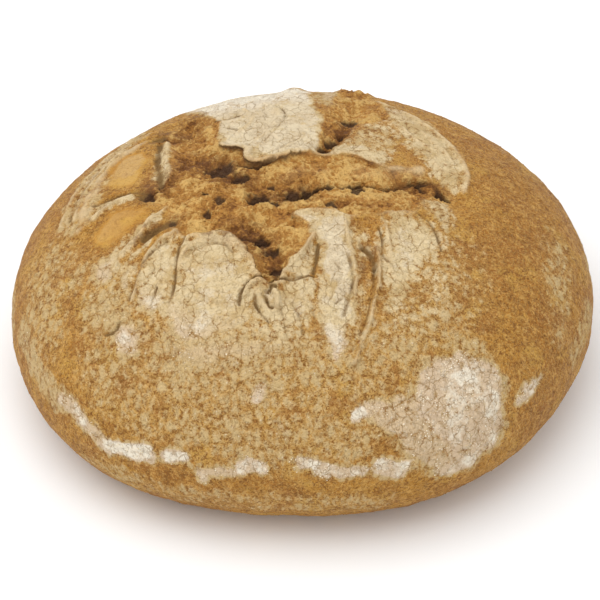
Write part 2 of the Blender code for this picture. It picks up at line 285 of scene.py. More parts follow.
CREASES = {
    "fissure": (3.0, 2.0, (
        (-6, 0), (-1, 1), (3, 2), (7, 5), (13, 7), (18, 5), (23, 8), (27, 8), (31, 6), (36, 7),
        (41, 11), (47, 14), (50, 9))),
    "fissure end": (1.6, 1.7, ((47, 14), (53, 15), (56, 10), (60, 4))),
    "under the back plate": (2.2, 1.7, ((-27, 22), (-21, 18), (-16, 19), (-12, 21))),
    "swirl line": (1.0, 1.1, ((-14, 77), (-8, 68), (-8, 58), (-11, 48), (-17, 37))),
    "back plate crease": (1.5, 1.4, ((-15, 25), (-9, 29), (-6, 32), (-2, 37))),
    "back slit": (1.6, 1.4, ((-38, 63), (-34, 61), (-28, 64))),
    "back slit 2": (1.1, 1.2, ((-32, 53), (-27, 49))),
    "back lobe shade": (1.0, 2.0, ((-34, 41), (-29, 36), (-23, 34))),
    "right plate crack": (1.3, 1.2, ((46, -11), (52, -17), (56, -32))),
    "right plate line": (0.9, 1.1, ((30, -24), (32, -30), (31, -38), (35, -42))),
    "left stripe groove": (2.0, 2.6, ((-63, 48), (-62, 30), (-59, 10))),
    "left band line": (1.0, 1.2, ((-99, 4), (-96, 24), (-88, 44), (-77, 61))),
    "left fold groove": (1.5, 2.2, ((-88, 8), (-80, 9), (-73, 10), (-66, 8))),
    "left recess": (2.0, 3.0, ((-51, -16), (-56, -18), (-60, -20), (-63, -23))),
    "second fold line": (1.1, 1.2, ((-53, -27), (-60, -32), (-64, -41), (-67, -53))),
    "lobe gap": (1.2, 1.2, ((-45, -25), (-48, -31), (-48, -38), (-49, -50), (-52, -60))),
    "above the left plate": (1.4, 2.2, ((-31, -24), (-24, -28), (-18, -28))),
    "plate roll line": (0.8, 1.1, ((-44, -36), (-41, -32), (-36, -31), (-30, -32), (-27, -37))),
    "flap shadow": (1.2, 1.5, ((6, -34), (5, -43), (4, -51))),
    "under the flap": (1.4, 1.2, ((4, -53), (-2, -54), (-8, -54))),
    "petal crease": (1.7, 1.3, ((-25, -64), (-24, -57), (-20, -52), (-15, -52))),
    "petal side": (1.6, 1.2, ((-19, -60), (-19, -66), (-14, -74))),
    "petal inner": (1.5, 1.2, ((-15, -60), (-14, -66), (-12, -67))),
    "lobe wrinkle": (0.9, 1.3, ((-4, -66), (-1, -72), (0, -80))),
    "lobe wrinkle 2": (0.8, 1.3, ((3, -66), (5, -74))),
    "lobe wrinkle 3": (0.8, 1.2, ((-9, -68), (-7, -76), (-6, -82))),
    "right recess": (1.4, 2.2, ((24, -34), (27, -37), (28, -45))),
    "right recess line": (0.9, 1.1, ((28, -45), (28, -53), (26, -66), (23, -78))),
    "column side": (1.1, 1.4, ((18, -38), (20, -52), (18, -60), (16, -70))),
    "column crack": (0.8, 1.1, ((13, -44), (16, -49), (13, -56), (17, -60), (13, -64))),
    "column crack 2": (0.8, 1.1, ((9, -30), (13, -31), (14, -36))),
    "plate slit": (1.4, 1.1, ((-56, -50), (-59, -58))),
    "plate slit 2": (0.9, 1.0, ((-57, -39), (-58, -43))),
    "left hook": (1.6, 1.2, ((-72, -62), (-73, -65), (-77, -66))),
}
PITS = (
    (2.4, 5.2, (-18, -2)),
    (1.8, 2.4, (-12, -5)),
    (2.0, 3.4, (-34, -4)),
    (2.6, 5.0, (-5, 0)),
    (2.4, 4.2, (1, 1)),
    (1.4, 2.2, (-13, 5)),
    (2.2, 4.0, (-27, 13)),
    (1.7, 8.0, (-35, 21)),
    (2.4, 4.5, (-63, 4)),
    (1.8, 4.0, (22, 3)),
    (2.4, 3.8, (-17, -28)),
    (1.8, 3.0, (-13, -35)),
    (2.0, 3.2, (-11, -45)),
    (1.8, 2.8, (-12, -52)),
    (1.8, 2.6, (-12, -58)),
    (2.2, 3.0, (10, 32)),
    (2.4, 3.8, (12, 38)),
    (2.2, 3.6, (16, 45)),
    (2.2, 4.2, (20, 60)),
    (2.0, 5.0, (-64, 57)),
    (1.4, 2.2, (-38, -13)),
    (1.0, 2.4, (-40, 0)),
    (1.3, 2.6, (12, -10)),
    (1.3, 3.0, (57, 7)),
)
SWELLS = (
    (2.0, 5, (-4, 100)),
    (1.4, 9, (-2, 90)),
    (2.4, 5, (19, 98)),
    (2.4, 5, (26, 97)),
    (1.5, 14, (-36, -8)),
    (1.2, 12, (28, -6)),
    (1.3, 10, (20, -6)),
    (1.5, 16, (-72, -10)),
    (1.0, 16, (-76, 30)),
    (1.0, 22, (-38, -45)),
)
print(len(TEARS), "tears,", len(LIPS), "lips,", len(RIDGES) + len(CREASES), "folds")

# %% [markdown]
# Torn crumb and baked crust
#
# Torn crumb is craggy: broad heaps, lumps with sharp hollows between them, and small crags.
# Baked crust only waves and wrinkles. A Displace modifier could raise such lumps, but it
# wouldn't know where the tears are. So both are sums of noise, read at a place on the map.

# %% Lumps of crumb and waves of crust
def crumb_lumps(places):
    """The lumps and crags of torn crumb, in mm."""
    moved = places + 1.5 * np.column_stack((noise(places, 6.0, 12), noise(places, 6.0, 13)))
    broad = layered(places, 11.0, 11, 2)
    lumps = 0.45 - np.abs(layered(moved, 6.0, 15, 2))
    small = 0.45 - np.abs(noise(moved, 2.6, 19))
    fine = 0.45 - np.abs(noise(places, 1.4, 23))
    return 1.3 * broad + 1.5 * lumps + 0.9 * small + 0.4 * fine


def crust_waves(places):
    """The waves and wrinkles of baked crust, in mm."""
    crust = 0.40 * layered(places, 22.0, 21, 2) + 0.20 * noise(places, 5.0, 25)
    crust += 0.30 * (0.4 - np.abs(noise(places, 2.4, 27)))
    return crust


print("crumb in the middle", crumb_lumps(np.zeros((1, 2))).round(2), "mm")

# %% [markdown]
# Tears, valleys and lips
#
# Beside a tear the skin curls up and leans over the edge, and the crumb under it draws back,
# so the lip throws a real shadow. A height alone can't overhang, so each place also gets a
# step to the side, along the shortest way to the edge of the tear.

# %% Edges of the tears and their lips
REACH = 12.0
LEAN_OUT = 1.2
LEAN_WIDTH = 3.0
LEAN_UNDER = 1.5
UNDERCUT = 2.2
FULL_CURL = 2.2
CURL_WIDTH = 7.0


def inward(lines, outline, reach):
    """Distance from a closed outline, above 0 inside it, and the way to its edge."""
    line = rounded(outline, closed=True)
    distance, way = nearest(lines, line, reach)
    return np.where(inside(lines, line), distance, -distance), way


def tear_edges(lines):
    """Distance inside the tears, the way to their edge, and how deep they are."""
    edge = np.full(len(lines), -REACH)
    step = np.zeros((len(lines), 2))
    depth = np.zeros(len(lines))
    for tear_depth, outline in TEARS.values():
        signed, way = inward(lines, outline, REACH)
        deeper = signed > edge
        edge = np.where(deeper, signed, edge)
        step[deeper] = way[deeper]
        depth = np.where(signed > 0, tear_depth, depth)
    length = np.hypot(step[:, 0], step[:, 1])
    return edge, step / np.maximum(length, 0.05)[:, None], depth


def valley_depth(lines):
    valley = np.zeros(len(lines))
    for sunk, width, outline in VALLEYS.values():
        distance, _ = nearest(lines, rounded(outline), width)
        valley = np.maximum(valley, sunk * soft(1.0 - distance / width))
    return valley


def lip_rise(lines, uneven):
    """How far the skin near a lip is raised, in mm, and how much it curls, up to 1."""
    raised = np.zeros(len(lines))
    curl = np.zeros(len(lines))
    for rise, width, outline in LIPS.values():
        distance, _ = nearest(lines, rounded(outline), width)
        raised = np.maximum(raised, rise * uneven * (1.0 - distance / width) ** 2)
        most = min(1.0, rise / FULL_CURL)
        curl = np.maximum(curl, most * soft(1.0 - distance / CURL_WIDTH))
    return raised, curl


def lip_roll(outside):
    """The rolled edge of the skin, with a slight dip behind it."""
    return np.exp(-((outside - 1.6) / 1.2) ** 2) - 0.6 * np.exp(-((outside - 4.2) / 1.4) ** 2)


def lip_lean(edge, outside, curl):
    """The skin's step out over the tear, and the crumb's step back under it, in mm."""
    out = LEAN_OUT * np.exp(-(outside / LEAN_WIDTH) ** 2)
    within = np.maximum(edge, 0.0)
    under = (LEAN_OUT + LEAN_UNDER) * soft(within / UNDERCUT) - LEAN_OUT
    under -= LEAN_UNDER * soft((within - UNDERCUT) / 5.0)
    return np.where(edge > 0, under, out) * curl


print("deepest tear", max(depth for depth, _ in TEARS.values()), "mm")

# %% [markdown]
# Folds, creases and hollows
#
# A fold is a raised line, a crease is a sunk one, and steam leaves round hollows in the
# crumb. They could be sculpted by hand, but nobody could follow those strokes. So each list
# adds its own share to the height, and tells the paint where to put a painted highlight on
# the folds and painted shade in the creases and hollows.

# %% Ridges, creases, pits and swells
def raise_ridges(height, drawn, uneven, torn):
    """Add the ridges to the height, and return how much each place catches light."""
    ridge_highlight = np.zeros(len(drawn))
    for rise, width, outline in RIDGES.values():
        distance, _ = nearest(drawn, rounded(outline), width)
        near = uneven * soft(1.0 - distance / width)
        height += rise * near
        painted = soft(1.4 * near - 0.4) * min(1.0, rise) * (1.0 - 0.85 * torn)
        ridge_highlight = np.maximum(ridge_highlight, painted)
    return ridge_highlight


def sink_creases(height, drawn, uneven):
    """Sink the creases, and return how deep each place lies, up to 1, for painted shade."""
    deep = np.zeros(len(drawn))
    for sunk, width, outline in CREASES.values():
        distance, _ = nearest(drawn, rounded(outline), width)
        near = uneven * soft(1.0 - distance / width)
        height -= sunk * near
        deep = np.maximum(deep, near * min(1.0, sunk / 1.8))
    return deep


def sink_pits(height, lines, ragged, deep):
    """Sink the pits, and return the larger depth of crease and pit, for painted shade."""
    for sunk, radius, centre in PITS:
        across = np.hypot(*(lines - centre).T) / (1.15 * radius)
        across += ragged
        near = soft(1.25 * (1.0 - across))
        height -= sunk * near
        deep = np.maximum(deep, near)
    return deep


def raise_swells(height, places):
    for rise, radius, centre in SWELLS:
        height += rise * np.exp(-(np.hypot(*(places - centre).T) / radius) ** 2)


print(len(PITS), "pits and", len(SWELLS), "swells")

# %% [markdown]
# The relief of the skin
#
# One function adds all of this up for any places on the map. It also keeps what the paint
# needs later: where the loaf is torn; how deep a place lies, or how far it is under a lip,
# for painted shade; where a thin rim catches light, for a painted highlight; how high the
# lumps of crumb stand; and which part of the skin belongs to the crown.

# %% Relief and masks
WANDER = 1.8
WANDER_SPACING = 13.0
WANDER_OF_FOLDS = 0.3
WALL = 2.6
CROWN_RADIUS = 92.0


def wandering(places, push, spacing, seeds):
    """The places, pushed about so that lines drawn on them come out uneven."""
    return places + push * np.column_stack([layered(places, spacing, seed, 4) for seed in seeds])


def relief(places):
    """Height in mm, sideways step in mm, and a dictionary of masks for the paint."""
    crumb = crumb_lumps(places)
    lines = wandering(places, WANDER, WANDER_SPACING, (41, 51))
    edge, way, depth = tear_edges(lines)
    outside = np.maximum(-edge, 0.0)
    torn = soft(edge / WALL)
    height = -depth * torn + crumb * soft(edge / 5.0) + crust_waves(places) * (1.0 - torn)
    height -= valley_depth(lines)

    uneven = np.clip(0.8 + 0.6 * noise(places, 9.0, 29), 0.3, 1.3)
    raised, curl = lip_rise(lines, uneven)
    height += (raised + 0.6 * lip_roll(outside) * curl) * (1.0 - torn)
    drawn = places + WANDER_OF_FOLDS * (lines - places)
    ridge_highlight = raise_ridges(height, drawn, uneven, torn)
    deep = sink_creases(height, drawn, uneven)
    deep = sink_pits(height, lines, 0.35 * noise(places, 2.5, 33), deep)
    raise_swells(height, places)

    # Painted highlight along a rolled lip, and painted shade on the crumb just under it.
    lip_light = curl * soft(1.0 - np.abs(outside - 1.0) / 1.6) * (1 - torn)
    lip_shade = curl * soft((edge + 0.3) / 0.6) * soft(1.0 - edge / 3.5)
    from_top = np.hypot(places[:, 0], places[:, 1])
    # The depth mask darkens creases, pits and the crumb under a lip as painted shade, and the rim
    # mask paints a highlight on rims and ridges.
    masks = {
        "torn": soft(edge / 1.4 + 0.5),
        "deep": np.clip(np.maximum(deep, 0.7 * lip_shade), 0.0, 1.0),
        "rim": np.maximum(lip_light, ridge_highlight),
        "crag": np.clip(0.40 + 0.25 * crumb, 0.0, 1.0),
        "crown": soft((CROWN_RADIUS - from_top) / 20.0),
    }
    return height, way * lip_lean(edge, outside, curl)[:, None], masks


# %% [markdown]
# Where the flour lies
#
# The baker dusts the dough before it rises, and the flour stays on the skin while the tears
# open clean. So the plates are pale, the crust between and below them is brown, and a broken
# ring of flour marks the rim of the basket. Each field has a strength, a soft edge and an
# outline in millimetres, and each band a strength, a width and a line. Flour stronger than 1
# is whiter. A tone above 0 makes the crust more golden, and one below 0 darker. Shade darkens
# the crumb.

# %% Fields of flour and of tone
FLOUR_FIELDS = {
    "back plate": (1.45, 3, (
        (-37, 60), (-36, 44), (-32, 34), (-20, 22), (0, 25), (7, 30), (8, 60), (4, 75), (2, 104),
        (-60, 100), (-40, 68))),
    "back fold": (0.8, 4, ((8, 72), (16, 72), (16, 88), (18, 104), (4, 104))),
    "back band": (1.0, 4, ((8, 26), (20, 24), (32, 18), (34, 27), (22, 36), (12, 31))),
    "back tan": (0.62, 8, ((14, 32), (36, 26), (42, 46), (30, 58), (20, 46))),
    "right flake": (0.85, 5, (
        (31, 84), (40, 79), (50, 67), (60, 49), (67, 29), (66, 10), (57, 12), (50, 26), (42, 40),
        (36, 62))),
    "left band": (0.85, 7, (
        (-68, 92), (-76, 62), (-84, 42), (-90, 24), (-97, 6), (-94, -10), (-104, -2), (-100, 24),
        (-88, 58), (-76, 84))),
    "left panel edge": (0.7, 4, ((-90, -6), (-84, 14), (-82, 28), (-86, 28), (-92, 4))),
    "left stripe": (0.95, 3, ((-62, 47), (-57, 46), (-56, 20), (-57, 10), (-61, 12), (-62, 30))),
    "left fold": (0.95, 3, ((-88, 4), (-80, 9), (-70, 9), (-68, 5), (-78, 3), (-90, -6))),
    "orange rim": (0.9, 3, (
        (-58, -8), (-55, -13), (-64, -19), (-72, -33), (-76, -30), (-68, -17))),
    "left grey": (0.85, 5, (
        (-84, -32), (-79, -26), (-73, -27), (-72, -38), (-78, -46), (-84, -40))),
    "left low": (0.62, 6, ((-100, -40), (-94, -26), (-84, -27), (-88, -40))),
    "left gutter": (0.9, 4, (
        (-60, -22), (-64, -28), (-66, -38), (-67, -50), (-73, -48), (-72, -36))),
    "left lobe": (0.95, 4, (
        (-60, -32), (-56, -27), (-51, -25), (-49, -30), (-49, -52), (-58, -64), (-66, -54))),
    "left plate": (1.0, 6, (
        (-48, -30), (-40, -27), (-30, -27), (-22, -38), (-18, -54), (-20, -76), (-46, -80),
        (-56, -62), (-48, -48))),
    "petals": (1.0, 5, (
        (-22, -54), (-12, -54), (-8, -60), (-8, -52), (4, -53), (6, -74), (-20, -78))),
    "petal leaf": (1.45, 2.5, ((-17, -61), (-14, -61), (-11, -68), (-15, -70))),
    "column white": (1.7, 4, ((6, -22), (17, -22), (20, -62), (10, -68))),
    "flap": (0.9, 2, ((5, -33), (2, -34), (-2, -41), (-8, -48), (-7, -52), (4, -52), (6, -44))),
    "column": (1.3, 4, (
        (-5, -18), (8, -15), (18, -18), (20, -28), (21, -45), (20, -70), (16, -90), (9, -90),
        (7, -60), (8, -40), (3, -27))),
    "right of the groove": (0.7, 4, ((22, -52), (27, -56), (24, -76), (19, -74))),
    "strip by the column": (0.55, 4, ((20, -22), (27, -24), (26, -50), (20, -50))),
    "right plate": (0.95, 6, (
        (32, -20), (44, -12), (52, -20), (55, -34), (44, -44), (42, -60), (33, -70), (31, -45))),
    "right slope": (0.75, 6, ((45, 2), (55, 4), (62, -10), (58, -28), (52, -14))),
    "pale area": (0.95, 6, ((-76, -60), (-62, -64), (-60, -80), (-76, -77))),
    "golden front": (0.42, 22, (
        (50, -14), (66, -22), (74, -34), (74, -60), (62, -84), (38, -100), (16, -96), (20, -70),
        (30, -50))),
    "left band line": (0.8, 3, (
        (-104, 4), (-100, 22), (-92, 44), (-80, 66), (-74, 80), (-82, 72), (-96, 46))),
    "front net": (0.80, 22, ((-62, -66), (-20, -68), (10, -80), (2, -98), (-40, -102), (-62, -90))),
    "left slope": (0.62, 9, (
        (-88, -42), (-68, -45), (-62, -62), (-62, -76), (-78, -72), (-90, -58))),
    "left flecks": (0.52, 15, ((-86, -60), (-64, -66), (-56, -100), (-74, -106), (-90, -84))),
    "front flecks": (0.40, 12, (
        (-46, -114), (-10, -106), (30, -108), (34, -128), (0, -137), (-40, -134))),
    "front haze": (0.38, 18, (
        (-80, -84), (60, -56), (66, -84), (44, -112), (0, -128), (-50, -124), (-80, -104))),
    "white spots": (1.2, 4, ((-20, -98), (-14, -98), (-14, -108), (-20, -108))),
    "low spots": (0.8, 4, ((-18, -112), (-10, -112), (-2, -121), (-8, -124))),
    "low spot": (0.8, 3, ((-31, -112), (-26, -112), (-26, -118), (-31, -118))),
    "big patch": (1.02, 4, (
        (42, -96), (50, -84), (58, -79), (80, -78), (86, -92), (92, -108), (84, -117),
        (78, -124), (66, -122), (54, -116), (46, -108))),
    "big patch skirt": (0.82, 4, (
        (24, -114), (32, -104), (44, -95), (60, -108), (78, -124), (60, -131), (46, -128),
        (38, -119))),
    "big patch top": (0.6, 8, ((48, -84), (56, -72), (72, -70), (80, -80))),
    "big patch tip": (1.25, 3, ((17, -112), (20, -118), (29, -113), (27, -107))),
    "big patch rim": (1.3, 4, ((56, -129), (64, -131), (80, -124), (84, -114), (80, -112))),
    "right haze": (0.60, 12, ((104, 6), (114, 0), (115, -52), (107, -58), (103, -20))),
    "left haze": (0.54, 18, ((-112, 0), (-92, -20), (-100, -70), (-122, -50))),
}
FLOUR_BANDS = {
    "left ring": (0.88, 6, ((-102, -85), (-96, -92), (-91, -100), (-89, -108))),
    "left ring spot": (1.35, 3.5, ((-95, -91), (-92, -97))),
    "left ring white": (1.35, 5.5, ((-86, -110), (-77, -115), (-66, -119))),
    "left ring blob": (1.4, 4.5, ((-59, -122), (-51, -125))),
    "left ring start": (0.66, 8, ((-124, -41), (-121, -53), (-115, -66), (-109, -77), (-102, -86))),
    "front left ring": (0.85, 4.5, ((-46, -132), (-38, -133), (-30, -134))),
    "front left blob": (1.35, 5, ((-27, -132), (-18, -133))),
    "front ring": (1.15, 5, ((-1, -132), (12, -136), (26, -134))),
    "front ring end": (1.15, 6, ((34, -132), (44, -130))),
    "small patch": (0.95, 4, ((94, -90), (99, -83), (104, -77))),
    "bottom haze": (0.30, 11, ((-104, -112), (-64, -144), (0, -154), (40, -150))),
    "front spots": (0.85, 6, ((22, -112), (32, -106))),
    "left back ring": (0.45, 9, ((-138, -30), (-140, 10), (-134, 38))),
    "left back ring blob": (0.9, 6, ((-126, 62), (-112, 84))),
    "left back ring end": (0.6, 8, ((-104, 92), (-84, 108))),
    "back ring": (0.5, 7, ((-66, 120), (-40, 130), (-22, 132))),
    "back ring blob": (0.95, 6, ((-6, 134), (22, 136))),
    "back ring end": (0.55, 8, ((44, 128), (72, 114))),
    "right back ring": (0.9, 5, ((86, 104), (98, 92), (108, 82))),
    "right back ring end": (0.45, 9, ((120, 62), (132, 36), (136, 4))),
    "right ring": (0.45, 9, ((134, -22), (128, -52))),
}
TONE_FIELDS = {
    "orange panel": (1.0, 4, (
        (-86, -20), (-84, -9), (-79, -1), (-63, -3), (-60, -8), (-68, -17), (-77, -24))),
    "tan panel": (1.2, 5, ((-85, 18), (-84, 32), (-76, 47), (-66, 46), (-64, 20), (-72, 13))),
    "left brown": (-0.8, 5, ((-66, 12), (-60, 10), (-62, 30), (-66, 30))),
    # The right side of the crust is painted darker and the left side lighter.
    "right crust": (-0.6, 30, ((60, 40), (110, 60), (120, -60), (96, -74), (66, -10))),
    "left crust": (0.35, 30, ((-140, 40), (-90, 60), (-96, -60), (-130, -60))),
    "groove brown": (-0.3, 4, ((20, -20), (29, -20), (29, -58), (20, -84))),
    "right strip": (0.8, 3, ((30, -31), (34, -34), (34, -46), (31, -47))),
    "front edge": (0.5, 4, ((20, -17), (30, -17), (30, -26), (22, -28))),
}
SHADE_FIELDS = {
    "under the back plate": (1.0, 7, (
        (-55, 31), (-49, 38), (-39, 34), (-28, 23), (-18, 15), (-21, 7), (-34, 9), (-50, 17))),
    "upper left streaks": (0.6, 6, (
        (-68, 56), (-58, 76), (-44, 78), (-40, 62), (-49, 51), (-60, 45))),
    "over the left plate": (0.7, 3, ((-39, -27), (-28, -24), (-20, -28), (-22, -32), (-34, -30))),
    "middle": (0.8, 6, ((-24, 2), (-10, 9), (6, 7), (6, -2), (-6, -6), (-20, -6))),
    "front left": (0.95, 5, (
        (-32, -18), (-20, -18), (-12, -24), (-7, -50), (-13, -54), (-20, -36), (-26, -26))),
    "left recess": (0.8, 4, ((-50, -10), (-64, -18), (-68, -26), (-60, -24), (-48, -19))),
    "left end": (0.8, 5, ((-58, 20), (-52, 20), (-56, 0), (-66, 2), (-70, 8))),
    "left corner": (0.6, 6, ((-60, 62), (-48, 66), (-42, 56), (-54, 50))),
    "right end": (0.7, 5, ((34, 2), (48, 8), (62, 6), (54, 17), (36, 12))),
    "back hollow": (0.85, 5, ((8, 28), (14, 30), (24, 60), (17, 64), (10, 44))),
    "right recess": (0.6, 3, ((22, -31), (28, -34), (29, -50), (22, -50))),
    "front right": (0.3, 5, ((8, -10), (30, -14), (44, -8), (30, -6), (10, -5))),
}


def field_sum(lines, fields, combine):
    total = np.zeros(len(lines))
    for strength, softness, outline in fields.values():
        signed, _ = inward(lines, outline, softness)
        total = combine(total, strength * soft(0.5 + 0.5 * signed / softness))
    return total


FLOUR_WANDER = 2.2
FLOUR_WANDER_SPACING = 10.0


def flour_and_tone(places):
    """The strengths of flour, of tone and of shade at each place."""
    lines = wandering(places, FLOUR_WANDER, FLOUR_WANDER_SPACING, (61, 71))
    flour = field_sum(lines, FLOUR_FIELDS, np.maximum)
    for strength, width, outline in FLOUR_BANDS.values():
        distance, _ = nearest(lines, rounded(outline), width)
        flour = np.maximum(flour, strength * soft(1.6 * (1.0 - distance / width)))
    tone = field_sum(lines, TONE_FIELDS, np.add)
    return flour, tone, field_sum(lines, SHADE_FIELDS, np.maximum)


print(len(FLOUR_FIELDS), "fields and", len(FLOUR_BANDS), "bands of flour")

# %% [markdown]
# Where loose grains can lie
#
# Flour gathers in clumps where it is thick, bran flakes stick up from bare crust, and torn
# crumb ends in shreds. Few lie near the base. Each kind gets a mask from 0 to 1, so that the
# strewing needs no rules of its own.

# %% Masks for the grains
BARE_RIM = 8.0


def grain_masks(skin_map, masks):
    whole = 1.0 - masks["torn"]
    from_top = np.hypot(skin_map[:, 0], skin_map[:, 1])
    above = soft((SKIN_END / MM - from_top - BARE_RIM) / 6.0)
    clumps = soft(0.2 + 1.6 * noise(skin_map, 7.0, 81) + 0.8 * noise(skin_map, 3.0, 82))
    tufts = soft(0.1 + 1.4 * noise(skin_map, 6.0, 83) + 0.8 * noise(skin_map, 2.6, 84))
    floury = clumps * soft((masks["flour"] - 0.6) / 0.4) * whole * above
    return {
        "flour_grains": floury * (1.0 - 0.8 * masks["crown"]),
        "bran_grains": (0.15 + 0.85 * tufts) * (1.0 - 0.7 * masks["flour"]) * whole * above,
        "crumb_grains": (0.1 + 0.9 * tufts) * masks["torn"] * (1.0 - masks["deep"]),
    }


# %% [markdown]
# The skin as a mesh
#
# A sphere of even triangles is laid over the loaf. Most of its points go to the crown, where
# the detail is. Each point is then moved by the relief. The masks are kept on the points as
# attributes, and a Decimate modifier takes out the triangles that plain crust doesn't need.

# %% Build the skin
SPHERE_LEVEL = 8
SPHERE_STOPS = tuple(math.radians(angle) for angle in (0, 92, 124, 154, 180))
SKIN_STOPS = (0.0, 68 * MM, 108 * MM, SKIN_END, SKIN_END)
UNDERSIDE_STOPS = (0.0, 0.0, 0.0, 0.0, 1.0)
KEPT_SHARE = 0.60
SOFT_EDGE = 14.0
FOLDED = math.radians(100)
RELAX_ROUNDS = 10


def sphere_points():
    mesh = bpy.data.meshes.new("skin")
    ball = bmesh.new()
    bmesh.ops.create_icosphere(ball, subdivisions=SPHERE_LEVEL, radius=1.0)
    ball.to_mesh(mesh)
    ball.free()
    points = np.empty(len(mesh.vertices) * 3, dtype=np.float32)
    mesh.vertices.foreach_get("co", points)
    return mesh, points.reshape(-1, 3).astype(float)


def build_skin():
    mesh, ball = sphere_points()
    polar = np.arccos(np.clip(ball[:, 2] / np.linalg.norm(ball, axis=1), -1.0, 1.0))
    across = ball[:, :2] / np.maximum(np.hypot(ball[:, 0], ball[:, 1]), 1e-9)[:, None]
    skin = np.interp(polar, SPHERE_STOPS, SKIN_STOPS)
    under = np.interp(polar, SPHERE_STOPS, UNDERSIDE_STOPS)
    skin_map = across * (skin / MM)[:, None]
    height, lean, masks = relief(skin_map)
    fade = soft((SKIN_END - skin) / MM / SOFT_EDGE)
    places, _ = on_loaf(skin_map + lean, under)
    _, faces = on_loaf(skin_map, under)
    places = places + faces * (height * fade * MM)[:, None]
    masks["flour"], masks["tone"], masks["shade"] = flour_and_tone(skin_map)
    masks.update(grain_masks(skin_map, masks))
    masks["under"] = soft(under * 6.0)
    for name, values in masks.items():
        kept = mesh.attributes.new(name, "FLOAT", "POINT")
        kept.data.foreach_set("value", values.astype(np.float32))
    flat = np.column_stack((skin_map * MM, np.zeros(len(skin_map))))
    kept = mesh.attributes.new("skin_map", "FLOAT_VECTOR", "POINT")
    kept.data.foreach_set("vector", flat.astype(np.float32).ravel())
    return mesh, places


def relax_folds(mesh):
    """Smooth the few corners where a leaning edge has folded over."""
    skin = bmesh.new()
    skin.from_mesh(mesh)
    relaxed = set()
    for _ in range(RELAX_ROUNDS):
        folded = [edge for edge in skin.edges if edge.calc_face_angle(0.0) > FOLDED]
        relaxed |= {corner for edge in folded for corner in edge.verts}
        bmesh.ops.smooth_vert(
            skin, verts=list(relaxed), factor=0.5,
            use_axis_x=True, use_axis_y=True, use_axis_z=True)
        skin.normal_update()
    skin.to_mesh(mesh)
    skin.free()
    return len(relaxed)


def thin_out(mesh, name):
    full = bpy.data.objects.new(name, mesh)
    bpy.context.scene.collection.objects.link(full)
    thinner = full.modifiers.new("thin out", "DECIMATE")
    thinner.ratio = KEPT_SHARE
    evaluated = full.evaluated_get(bpy.context.evaluated_depsgraph_get())
    full.data = bpy.data.meshes.new_from_object(evaluated)
    full.modifiers.clear()
    return full


skin_mesh, skin_places = build_skin()
middle = (skin_places.min(axis=0) + skin_places.max(axis=0)) / 2
cad_middle = (np.array(cad_low) + np.array(cad_high)) / 2
skin_shift = np.array((*(cad_middle - middle)[:2], cad_low[2] - skin_places[:, 2].min()))
skin_mesh.vertices.foreach_set("co", (skin_places + skin_shift).astype(np.float32).ravel())
skin_mesh.update()
loaf_skin = thin_out(skin_mesh, "loaf_skin")
print(relax_folds(loaf_skin.data), "folded corners relaxed")
loaf_skin.data.shade_smooth()
print("skin", len(loaf_skin.data.polygons), "triangles, moved by", skin_shift / MM, "mm")

# %% [markdown]
# Paint mixed from nodes
#
# A baked skin has no single colour, so its paint is mixed from noise in the node editor. The
# recipe below is a short way to write such a tree: each helper adds one kind of node, links
# what it is given, and hands back its output. All patterns read the object's own coordinates.

